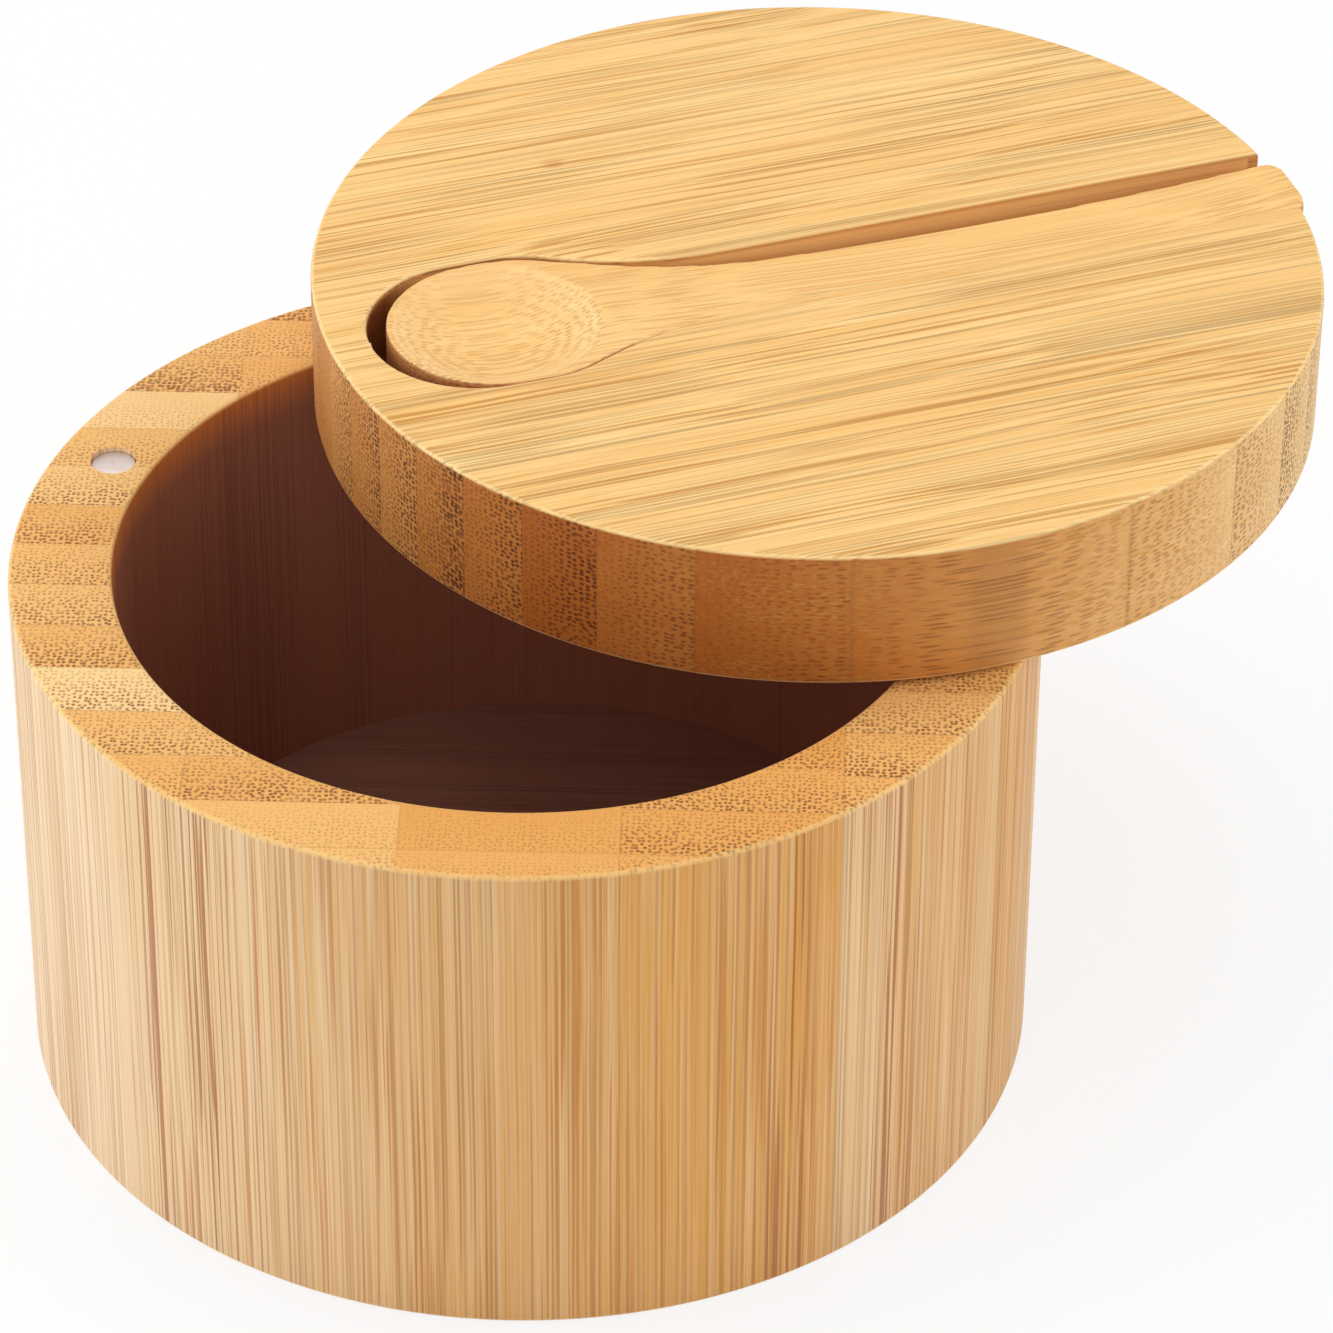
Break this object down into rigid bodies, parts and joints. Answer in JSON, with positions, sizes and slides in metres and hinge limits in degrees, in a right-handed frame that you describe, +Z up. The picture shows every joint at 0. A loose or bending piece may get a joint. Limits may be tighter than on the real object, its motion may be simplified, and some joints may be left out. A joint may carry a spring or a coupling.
{
  "type": "salt box with swivel lid and spoon",
  "caption": "Round laminated bamboo salt box whose thick flat lid swivels on an upright pin, closes on a magnet and carries a small spoon in a slot.",
  "frame": {"origin": "centre of the base's round bottom face, on the surface that the box stands on", "axes": "+Z up along the base's axis, +X from the axis towards the pivot pin"},
  "size_m": [0.1064, 0.1225, 0.0622],
  "materials": {
    "bamboo_base": "sanded bamboo, upright staves",
    "bamboo_inside": "sanded bamboo inside the cavity",
    "bamboo_lid": "sanded and oiled bamboo strips",
    "bamboo_spoon": "smooth sanded bamboo",
    "steel": "ground steel pin",
    "nickel": "nickel-plated magnet",
    "nylon": "natural nylon"
  },
  "bodies": {
    "base": {"staves_left_2": "bamboo_base", "staves_left_1": "bamboo_base", "staves_middle": "bamboo_base", "staves_right_1": "bamboo_base", "staves_right_2": "bamboo_base", "floor_disc": "bamboo_inside", "pivot_pin": "steel", "pivot_washer": "nylon", "rim_magnet": "nickel"},
    "lid": {"lid_strip_left_8": "bamboo_lid", "lid_strip_left_7": "bamboo_lid", "lid_strip_left_6": "bamboo_lid", "lid_strip_left_5": "bamboo_lid", "lid_strip_left_4": "bamboo_lid", "lid_strip_left_3": "bamboo_lid", "lid_strip_left_2": "bamboo_lid", "lid_strip_left_1": "bamboo_lid", "lid_strip_right_1": "bamboo_lid", "lid_strip_right_2": "bamboo_lid", "lid_strip_right_3": "bamboo_lid", "lid_strip_right_4": "bamboo_lid", "lid_strip_right_5": "bamboo_lid", "lid_strip_right_6": "bamboo_lid", "lid_strip_right_7": "bamboo_lid", "lid_strip_right_8": "bamboo_lid", "lid_strip_right_9": "bamboo_lid", "lid_magnet": "nickel"},
    "spoon": {"spoon": "bamboo_spoon"}
  },
  "joints": [
    {"name": "lid_swivel", "type": "hinge", "parent": "base", "child": "lid", "pos_m": [0.0405, 0, 0.0486], "axis": [0, 0, 1], "range_deg": [-126.6, 53.4]},
    {"name": "spoon_lift", "type": "slide", "parent": "lid", "child": "spoon", "axis": [0, 0, 1], "range_m": [0, 0.03]}
  ]
}
